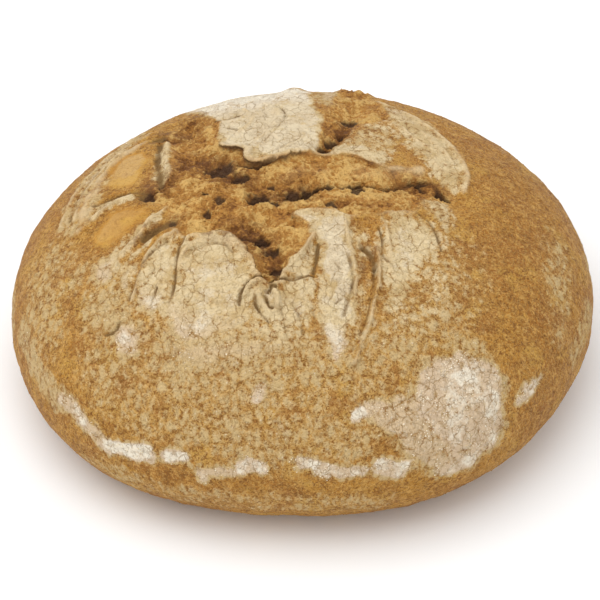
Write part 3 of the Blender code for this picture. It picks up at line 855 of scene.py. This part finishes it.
# %% A recipe of nodes
class Recipe:
    """A material whose nodes are added and linked one after the other."""

    def __init__(self, name):
        self.material = bpy.data.materials.new(name)
        self.material.use_nodes = True
        self.tree = self.material.node_tree
        self.shader = self.tree.nodes["Principled BSDF"]
        self.place = self.add("ShaderNodeTexCoord").outputs["Object"]

    def add(self, kind, inputs=(), **settings):
        node = self.tree.nodes.new(kind)
        for name, value in settings.items():
            setattr(node, name, value)
        for key, value in dict(inputs).items():
            self.feed(node.inputs[key], value)
        return node

    def feed(self, socket, value):
        if isinstance(value, bpy.types.NodeSocket):
            self.tree.links.new(value, socket)
        else:
            socket.default_value = value

    def math(self, operation, first, second=0.0):
        return self.add("ShaderNodeMath", {0: first, 1: second}, operation=operation).outputs[0]

    def plus(self, first, second):
        return self.math("ADD", first, second)

    def minus(self, first, second):
        return self.math("SUBTRACT", first, second)

    def times(self, first, second):
        return self.math("MULTIPLY", first, second)

    def swing(self, value, amount, middle=0.5):
        """A value that varies about its middle, made to vary about 0 by an amount."""
        return self.times(self.minus(value, middle), amount)

    def blend(self, amount, first, second):
        node = self.add("ShaderNodeMix", {0: amount, 6: first, 7: second}, data_type="RGBA")
        return node.outputs[2]

    def coat(self, below, paint, value, stops, share):
        """Lay a paint over another, from the first stop of a value and fully at the second."""
        return self.blend(self.times(self.step(value, *stops), share), below, paint)

    def step(self, value, low, high):
        """0 at low and 1 at high, also where low is the larger of the two."""
        node = self.add("ShaderNodeMapRange", {0: value, 1: low, 2: high},
                        interpolation_type="SMOOTHSTEP")
        return node.outputs[0]

    def kept(self, name):
        return self.add("ShaderNodeAttribute", attribute_name=name).outputs["Fac"]

    def cloud(self, spacing_mm, detail=3.0, roughness=0.55, distortion=0.0, shift=0.0):
        shifts = (shift, shift, shift)
        moved = self.add("ShaderNodeVectorMath", {0: self.place, 1: shifts}).outputs[0]
        node = self.add("ShaderNodeTexNoise", {
            "Vector": moved, "Scale": 1.0 / (spacing_mm * MM), "Detail": detail,
            "Roughness": roughness, "Distortion": distortion})
        return node.outputs["Fac"]

    def worms(self, spacing_mm, width, shift=0.0):
        """Thin wandering lines, 1 on a line and 0 between the lines."""
        wave = self.cloud(spacing_mm, 3, 0.6, 0.4, shift)
        gap = self.math("ABSOLUTE", self.minus(wave, 0.5))
        return self.minus(1.0, self.step(gap, 0.0, width))

    def cracks(self, spacing_mm, wobble_mm, wobble_spacing_mm, stretch):
        """Distance to the nearest crack of a net on the skin map, in cells."""
        skin = self.add("ShaderNodeAttribute", attribute_name="skin_map").outputs["Vector"]
        push = self.add("ShaderNodeTexNoise", {
            "Vector": skin, "Scale": 1.0 / (wobble_spacing_mm * MM), "Detail": 4.0})
        centred = self.add("ShaderNodeVectorMath", {0: push.outputs["Color"], 1: (0.5, 0.5, 0.5)},
                           operation="SUBTRACT").outputs[0]
        sized = self.add("ShaderNodeVectorMath", {0: centred, "Scale": 2 * wobble_mm * MM},
                         operation="SCALE").outputs[0]
        moved = self.add("ShaderNodeVectorMath", {0: skin, 1: sized}).outputs[0]
        moved = self.add("ShaderNodeVectorMath", {0: moved, 1: stretch},
                         operation="MULTIPLY").outputs[0]
        node = self.add("ShaderNodeTexVoronoi", {"Vector": moved, "Scale": 1.0 / (spacing_mm * MM)},
                        feature="DISTANCE_TO_EDGE", voronoi_dimensions="2D")
        return node.outputs["Distance"]


# %% [markdown]
# The colours of the loaf
#
# Crust runs from dark bran brown to gold. Flour is never pure white: it is tan where it is
# thin and baked in, and whitest in the ring that the basket left. Crumb is warmer than crust.
# Its hollows and the creases of the skin get a painted shade of dark brown, and the rims of
# the plates a painted highlight. All are linear colours, as the shader wants them.

# %% Colours
CRUST_DARK = (0.235, 0.095, 0.016, 1)
CRUST_MID = (0.405, 0.178, 0.029, 1)
CRUST_RED = (0.30, 0.110, 0.018, 1)
CRUST_GOLD = (0.485, 0.235, 0.036, 1)
CRUST_YELLOW = (0.58, 0.335, 0.065, 1)
CRUST_TAN = (0.60, 0.40, 0.165, 1)
CRUST_HAZE = (0.55, 0.34, 0.112, 1)
CRUST_LIGHT = (0.61, 0.350, 0.098, 1)
FLOUR_DULL = (0.50, 0.35, 0.155, 1)
FLOUR_TAN = (0.59, 0.425, 0.205, 1)
FLOUR_PALE = (0.72, 0.57, 0.335, 1)
FLOUR_ROSE = (0.67, 0.51, 0.345, 1)
FLOUR_WHITE = (0.88, 0.80, 0.65, 1)
RIM_HIGHLIGHT = (0.74, 0.56, 0.32, 1)
FLOUR_SHADE = (0.33, 0.185, 0.060, 1)
CRUMB_SHADE = (0.150, 0.058, 0.018, 1)
CRUMB_DARK = (0.225, 0.088, 0.019, 1)
CRUMB_MID = (0.46, 0.215, 0.045, 1)
CRUMB_LIGHT = (0.68, 0.42, 0.135, 1)
HOLLOW_SHADE = (0.055, 0.025, 0.012, 1)
CREASE_SHADE = (0.185, 0.100, 0.030, 1)
print("crust gold", CRUST_GOLD[:3], "crumb", CRUMB_MID[:3])

# %% [markdown]
# What the paints of the skin share
#
# The brown of the crust is mottled at several sizes: broad clouds from the oven's heat, spots
# of a few millimetres, and fine specks of bran. The flour and the crumb break up with the
# same clouds, as they do on a real loaf, so all of them are made once and kept by name.

# %% Masks, clouds and lines of the skin
PAINT_MASKS = ("flour", "tone", "torn", "shade", "deep", "rim", "crag", "under", "crown")
PAINT_CLOUDS = {
    "broad": (30, 4, 0.55, 0.0, 0.0),
    "blots": (13, 4, 0.65, 0.0, 1.0),
    "spots": (6, 5, 0.7, 0.0, 3.0),
    "specks": (2.2, 3, 0.7, 0.0, 5.0),
    "grains": (0.9, 2, 0.6, 0.0, 7.0),
    "sponge": (1.5, 3, 0.75, 1.2, 29.0),
    "golden": (16, 4, 0.6, 0.0, 23.0),
    "chalk": (9, 4, 0.7, 0.0, 17.0),
    "gaps": (8, 3, 0.6, 0.0, 9.0),
}


class SkinRecipe(Recipe):
    """A recipe that holds the masks, clouds and lines of the skin by their names."""

    def __init__(self, name):
        super().__init__(name)
        for mask in PAINT_MASKS:
            setattr(self, mask, self.kept(mask))
        for cloud, sizes in PAINT_CLOUDS.items():
            setattr(self, cloud, self.cloud(*sizes))
        self.pale_lines = self.worms(2.4, 0.05, shift=11.0)
        self.dark_lines = self.worms(3.0, 0.035, shift=13.0)
        self.net = self.cracks(5.5, 2.6, 4.0, stretch=(1.3, 0.8, 1))
        self.smooth = self.step(self.tone, 0.4, 1.0)
        self.rough_skin = self.minus(1.0, self.times(self.smooth, 0.7))
        self.sandy = self.minus(1.0, self.times(self.crown, 0.35))


print(len(PAINT_MASKS), "masks and", len(PAINT_CLOUDS), "clouds")

# %% [markdown]
# The bare crust
#
# Crust is gold where the oven was gentle, red-brown where it was hot, and speckled with bran.
# Each coat goes over the last one where its cloud or its mask is strong. A smooth panel,
# where the tone is high, takes little of the speckle.

# %% Crust paint
def bare_crust(r):
    mottle = r.plus(r.times(r.spots, 0.8), r.times(r.specks, 0.8))
    mottle = r.plus(mottle, r.times(r.grains, 0.7))
    crust = r.blend(r.step(r.broad, 0.40, 0.62), CRUST_MID, CRUST_GOLD)
    crust = r.coat(crust, CRUST_GOLD, r.tone, (0.1, 1.2), 0.8)
    crust = r.coat(crust, CRUST_RED, r.tone, (0.0, -0.5), 0.36)
    crust = r.coat(crust, CRUST_HAZE, r.flour, (0.05, 0.55), 0.75)
    crust = r.coat(crust, CRUST_TAN, r.tone, (0.9, 1.2), 0.65)
    reddish = r.times(r.step(r.blots, 0.49, 0.35), r.rough_skin)
    crust = r.blend(r.times(reddish, 0.70), crust, CRUST_RED)
    crust = r.coat(crust, CRUST_YELLOW, r.golden, (0.53, 0.64), 0.60)
    crust = r.coat(crust, CRUST_DARK, mottle, (1.13, 0.93), r.rough_skin)
    light_spots = r.times(r.step(mottle, 1.17, 1.34), r.rough_skin)
    crust = r.blend(r.times(light_spots, 0.8), crust, CRUST_LIGHT)
    crust = r.coat(crust, CRUST_DARK, r.sponge, (0.47, 0.39), r.rough_skin)
    pores = r.times(r.step(r.sponge, 0.57, 0.64), r.rough_skin)
    crust = r.blend(r.times(pores, 0.7), crust, CRUST_LIGHT)
    pale_lines = r.times(r.pale_lines, r.rough_skin)
    crust = r.blend(r.times(pale_lines, 0.55), crust, CRUST_LIGHT)
    dark_lines = r.times(r.dark_lines, r.rough_skin)
    crust = r.blend(r.times(dark_lines, 0.35), crust, CRUST_DARK)
    return crust


# %% [markdown]
# The flour on the crust
#
# Flour covers the crust where the mask and the clouds agree, so its edges break up. As the
# dough rose, the floury skin cracked into a net, with hairlines between. Such a crack is
# finer than the triangles, so it is painted and bumped, not cut.

# %% Flour paint
NET_MIDDLE = 0.14


def flour_cover(r):
    """How well the flour hides the crust, from 0 to 1."""
    coarse = r.add("ShaderNodeMapRange", {0: r.flour, 1: 0.4, 2: 0.9, 3: 0.7, 4: 1.8}).outputs[0]
    ragged = r.swing(r.spots, coarse)
    ragged = r.plus(ragged, r.swing(r.specks, 1.3))
    ragged = r.plus(ragged, r.swing(r.sponge, 1.6))
    ragged = r.plus(ragged, r.swing(r.net, 1.3, NET_MIDDLE))
    thin_flour = r.times(r.step(r.flour, 0.1, 0.3), r.step(r.flour, 0.85, 0.6))
    patchy = r.swing(r.blots, 1.5)
    cover = r.plus(r.flour, r.times(ragged, r.step(r.flour, 0.0, 0.3)))
    cover = r.plus(cover, r.times(patchy, thin_flour))
    cover = r.times(r.step(cover, 0.15, 0.90), r.minus(1.0, r.torn))
    return cover


def flour_cracks(r):
    broken = r.times(r.step(r.gaps, 0.42, 0.54), r.step(r.flour, 0.25, 0.6))
    net_lines = r.times(r.minus(1.0, r.step(r.net, 0.0, 0.06)), broken)
    fine_lines = r.times(r.worms(2.6, 0.045, shift=19.0), r.step(r.specks, 0.60, 0.42))
    fine_lines = r.times(fine_lines, r.sandy)
    crack = r.math("MAXIMUM", net_lines, r.times(fine_lines, 0.8))
    return crack


def flour_paint(r, crack):
    pale = r.blend(r.step(r.blots, 0.40, 0.58), FLOUR_TAN, FLOUR_PALE)
    pale = r.blend(r.crown, r.blend(r.step(r.flour, 0.60, 0.95), FLOUR_TAN, FLOUR_ROSE), pale)
    fluffy = r.minus(1.0, r.times(r.crown, 0.6))
    fluffy = r.times(r.step(r.flour, 0.75, 1.0), fluffy)
    dull = r.plus(r.times(r.spots, 0.7), r.times(r.specks, 0.5))
    pale = r.coat(pale, FLOUR_DULL, dull, (0.58, 0.42), 0.7)
    white = r.plus(r.chalk, r.swing(r.flour, 0.4, 1.0))
    pale = r.coat(pale, FLOUR_WHITE, white, (0.48, 0.68), fluffy)
    pale = r.blend(r.times(crack, 0.70), pale, FLOUR_SHADE)
    speckle = r.times(r.step(r.grains, 0.60, 0.72), r.sandy)
    pale = r.blend(r.times(speckle, 0.45), pale, FLOUR_WHITE)
    return pale


# %% [markdown]
# The torn crumb, and painted shade in the folds
#
# The lumps of crumb are painted light on top and brown between, partly their own colour and
# partly painted shade. Real crumb is a sponge that swallows light, which plain paint doesn't
# do. So hollows and creases get painted shade by their depth, and the thin rims of the
# plates a painted highlight.

# %% Crumb paint
def crumb_paint(r):
    lump = r.plus(r.crag, r.swing(r.specks, 1.2))
    lump = r.plus(lump, r.swing(r.grains, 0.8))
    lump = r.plus(lump, r.swing(r.blots, 1.3))
    lump = r.minus(lump, r.times(r.shade, 0.30))
    # The heights of the lumps are painted lighter and the gaps darker: partly the crumb's own
    # colour, partly painted shade.
    crumb = r.blend(r.step(lump, 0.0, 0.42), CRUMB_DARK, CRUMB_MID)
    crumb = r.blend(r.step(lump, 0.40, 0.78), crumb, CRUMB_LIGHT)
    return crumb


def highlights_and_shade(r, color):
    # Painted highlight on the rims of the plates and on the ridges.
    color = r.blend(r.times(r.rim, 0.75), color, RIM_HIGHLIGHT)
    shadow = r.times(r.shade, r.step(r.plus(r.spots, r.specks), 1.22, 0.84))
    color = r.blend(r.times(shadow, 0.9), color, CRUMB_SHADE)
    # Painted shade in hollows and creases, darker the deeper they lie.
    hollow_shade = r.plus(r.deep, r.swing(r.specks, 0.8))
    shaded = r.blend(r.torn, CREASE_SHADE, HOLLOW_SHADE)
    color = r.coat(color, shaded, hollow_shade, (0.08, 0.7), 0.9)
    color = r.blend(r.times(r.under, 0.35), color, CRUST_MID)
    return color


# %% [markdown]
# The finished crust
#
# Crust, flour and crumb come together in one material, because on the loaf they run into
# each other. Flour is duller than crust, so the roughness follows it, and a bump adds the
# grain that is finer than the mesh.

# %% Crust material
CRUST_ROUGHNESS = 0.65
FLOUR_ROUGHNESS = 0.95
DULL_SHINE = 0.2
FULL_COVER = 0.93
BUMP_DEPTH = 1.0 * MM


def crust_bumps(r, crack):
    lumps = r.plus(r.times(r.specks, 1.1), r.times(r.grains, 0.6))
    lumps = r.minus(lumps, r.times(crack, 0.22))
    lumps = r.plus(lumps, r.times(r.pale_lines, 0.15))
    lumps = r.plus(lumps, r.times(r.torn, r.times(r.specks, 0.7)))
    lumps = r.times(lumps, r.minus(1.0, r.times(r.smooth, 0.5)))
    bump = r.add("ShaderNodeBump", {"Strength": 1.0, "Distance": BUMP_DEPTH, "Height": lumps})
    return bump.outputs["Normal"]


def crust_material():
    r = SkinRecipe("baked crust")
    cover, crack = flour_cover(r), flour_cracks(r)
    skin = r.blend(r.times(cover, FULL_COVER), bare_crust(r), flour_paint(r, crack))
    color = highlights_and_shade(r, r.blend(r.torn, skin, crumb_paint(r)))
    rough = r.add("ShaderNodeMapRange", {0: cover, 3: CRUST_ROUGHNESS, 4: FLOUR_ROUGHNESS})
    r.feed(r.shader.inputs["Base Color"], color)
    r.feed(r.shader.inputs["Roughness"], rough.outputs[0])
    r.feed(r.shader.inputs["Specular IOR Level"], DULL_SHINE)
    r.feed(r.shader.inputs["Normal"], crust_bumps(r, crack))
    return r.material


loaf_skin.data.materials.clear()
loaf_skin.data.materials.append(crust_material())
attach(loaf_skin, "root")
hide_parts("loaf")

# %% [markdown]
# Loose grains: flour, bran and crumb
#
# Paint alone looks flat from near, because flour lies on the skin in clumps, bran flakes
# stick up from it, and torn crumb ends in small shreds. One Geometry Nodes tree strews all
# three: it draws places on the skin where a mask allows it, puts a small closed ball there,
# and flattens and turns it. The sizes, the mask and the seed are named inputs of the tree.

# %% A tree that strews grains
BALL_RADIUS = 0.5


def grain_tree():
    tree = bpy.data.node_groups.new("strew grains", "GeometryNodeTree")
    kinds = {
        "Skin": "Geometry", "Mask": "String", "Density": "Float", "Spacing": "Float",
        "Smallest": "Vector", "Largest": "Vector", "Tilt": "Float", "Seed": "Int",
        "Paint": "Material",
    }
    for name, kind in kinds.items():
        tree.interface.new_socket(name, in_out="INPUT", socket_type="NodeSocket" + kind)
    tree.interface.new_socket("Grains", in_out="OUTPUT", socket_type="NodeSocketGeometry")
    given = tree.nodes.new("NodeGroupInput").outputs

    def add(kind, links, **settings):
        node = tree.nodes.new(kind)
        for name, value in settings.items():
            setattr(node, name, value)
        for key, value in links.items():
            if isinstance(value, bpy.types.NodeSocket):
                tree.links.new(value, node.inputs[key])
            else:
                node.inputs[key].default_value = value
        return node

    mask = add("GeometryNodeInputNamedAttribute", {"Name": given["Mask"]}, data_type="FLOAT")
    strewn = add("GeometryNodeDistributePointsOnFaces", {
        "Mesh": given["Skin"], "Distance Min": given["Spacing"], "Density Max": given["Density"],
        "Density Factor": mask.outputs["Attribute"], "Seed": given["Seed"]},
        distribute_method="POISSON")
    size = add("FunctionNodeRandomValue", {
        "Min": given["Smallest"], "Max": given["Largest"], "Seed": given["Seed"]},
        data_type="FLOAT_VECTOR")
    negative = add("ShaderNodeMath", {0: given["Tilt"], 1: -1.0}, operation="MULTIPLY")
    low = add("ShaderNodeCombineXYZ", {0: negative.outputs[0], 1: negative.outputs[0], 2: 0.0})
    high = add("ShaderNodeCombineXYZ", {0: given["Tilt"], 1: given["Tilt"], 2: 2 * math.pi})
    turn = add("FunctionNodeRandomValue", {
        "Min": low.outputs[0], "Max": high.outputs[0], "Seed": given["Seed"]},
        data_type="FLOAT_VECTOR")
    ball = add("GeometryNodeMeshIcoSphere", {"Radius": BALL_RADIUS, "Subdivisions": 1})
    placed = add("GeometryNodeInstanceOnPoints", {
        "Points": strewn.outputs["Points"], "Instance": ball.outputs["Mesh"],
        "Rotation": strewn.outputs["Rotation"]})
    turned = add("GeometryNodeRotateInstances", {
        "Instances": placed.outputs[0], "Rotation": turn.outputs[0]})
    scaled = add("GeometryNodeScaleInstances", {
        "Instances": turned.outputs[0], "Scale": size.outputs[0]})
    real = add("GeometryNodeRealizeInstances", {"Geometry": scaled.outputs[0]})
    painted = add("GeometryNodeSetMaterial", {
        "Geometry": real.outputs[0], "Material": given["Paint"]})
    out = tree.nodes.new("NodeGroupOutput")
    tree.links.new(painted.outputs[0], out.inputs[0])
    return tree


GRAIN_TREE = grain_tree()


def strew(name, **wanted):
    grains = bpy.data.objects.new(name, loaf_skin.data.copy())
    bpy.context.scene.collection.objects.link(grains)
    modifier = grains.modifiers.new("strew", "NODES")
    modifier.node_group = GRAIN_TREE
    for socket in GRAIN_TREE.interface.items_tree:
        if socket.name in wanted:
            modifier[socket.identifier] = wanted[socket.name]
    evaluated = grains.evaluated_get(bpy.context.evaluated_depsgraph_get())
    grains.data = bpy.data.meshes.new_from_object(evaluated)
    grains.modifiers.clear()
    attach(grains, "root")
    print(name, len(grains.data.polygons), "triangles")


# %% [markdown]
# The paint of the grains
#
# The grains keep the masks of the skin that they lie on, because Geometry Nodes carry
# attributes along. Bran flakes and crumb shreds can therefore wear the crust's own paint and
# darken where it does. Only the flour has a paint of its own, a little uneven in tone.

# %% Flour clumps, bran flakes and crumb shreds
def flour_material():
    r = Recipe("flour grains")
    tone = r.step(r.cloud(4.0, 3, 0.6, shift=17.0), 0.36, 0.64)
    crown_flour = r.blend(tone, FLOUR_TAN, FLOUR_PALE)
    low_flour = r.blend(tone, FLOUR_PALE, FLOUR_WHITE)
    r.feed(r.shader.inputs["Base Color"], r.blend(r.kept("crown"), low_flour, crown_flour))
    r.feed(r.shader.inputs["Roughness"], FLOUR_ROUGHNESS)
    r.feed(r.shader.inputs["Specular IOR Level"], DULL_SHINE)
    return r.material


crust_paint = loaf_skin.data.materials[0]
strew("flour_clumps", Mask="flour_grains", Density=0.9e6, Spacing=0.6 * MM,
      Smallest=(0.25 * MM, 0.25 * MM, 0.12 * MM), Largest=(0.85 * MM, 0.7 * MM, 0.4 * MM),
      Tilt=0.3, Seed=3, Paint=flour_material())
strew("bran_flakes", Mask="bran_grains", Density=2.2e5, Spacing=1.0 * MM,
      Smallest=(0.6 * MM, 0.3 * MM, 0.12 * MM), Largest=(1.8 * MM, 0.8 * MM, 0.35 * MM),
      Tilt=0.3, Seed=5, Paint=crust_paint)
strew("crumb_shreds", Mask="crumb_grains", Density=0.8e6, Spacing=0.8 * MM,
      Smallest=(0.4 * MM, 0.3 * MM, 0.3 * MM), Largest=(1.6 * MM, 1.0 * MM, 0.9 * MM),
      Tilt=0.6, Seed=7, Paint=crust_paint)

# %% [markdown]
# Floor, light and camera
#
# The loaf stands in a white studio. A pale floor and an even white world give the soft light
# of a light tent, and one large lamp from the upper left gives the lips their shadows. The
# camera looks down at 39 degrees from just over a metre away with a long lens.

# %% Studio
FLOOR_SIZE = 6.0
FLOOR_WHITE = (0.95, 0.95, 0.95, 1)
FLOOR_ROUGHNESS = 0.9
CAMERA_PLACE = (0.0, -0.8549, 0.7323)
CAMERA_AIM = (-0.0013, -0.0055, 0.0332)
LENS_MM = 159.46
SENSOR_MM = 36
LIGHT_PLACE = (-0.38, -0.15, 1.35)
LIGHT_AIM = (0, 0, 0.04)
LIGHT_SIZE = 1.5
LIGHT_POWER = 11.0
WORLD_STRENGTH = 0.88


def aim(thing, target):
    way = Vector(target) - thing.location
    thing.rotation_euler = way.to_track_quat("-Z", "Y").to_euler()


def make_floor():
    mesh = bpy.data.meshes.new("floor")
    sheet = bmesh.new()
    bmesh.ops.create_grid(sheet, x_segments=1, y_segments=1, size=FLOOR_SIZE / 2)
    sheet.to_mesh(mesh)
    sheet.free()
    floor = bpy.data.objects.new("floor", mesh)
    bpy.context.scene.collection.objects.link(floor)
    r = Recipe("white floor")
    r.feed(r.shader.inputs["Base Color"], FLOOR_WHITE)
    r.feed(r.shader.inputs["Roughness"], FLOOR_ROUGHNESS)
    mesh.materials.append(r.material)


def make_light():
    data = bpy.data.lights.new("window", "AREA")
    data.size = LIGHT_SIZE
    data.energy = LIGHT_POWER
    lamp = bpy.data.objects.new("window", data)
    lamp.location = LIGHT_PLACE
    aim(lamp, LIGHT_AIM)
    bpy.context.scene.collection.objects.link(lamp)


def make_world():
    world = bpy.data.worlds.new("light tent")
    world.use_nodes = True
    inputs = world.node_tree.nodes["Background"].inputs
    inputs["Color"].default_value = (1, 1, 1, 1)
    inputs["Strength"].default_value = WORLD_STRENGTH
    bpy.context.scene.world = world


def make_camera():
    data = bpy.data.cameras.new("camera")
    data.lens = LENS_MM
    data.sensor_width = SENSOR_MM
    camera = bpy.data.objects.new("camera", data)
    shift = Vector((*skin_shift[:2], 0))
    camera.location = Vector(CAMERA_PLACE) + shift
    aim(camera, Vector(CAMERA_AIM) + shift)
    bpy.context.scene.collection.objects.link(camera)
    bpy.context.scene.camera = camera


make_floor()
make_light()
make_world()
make_camera()
bpy.context.scene.view_settings.view_transform = "Standard"
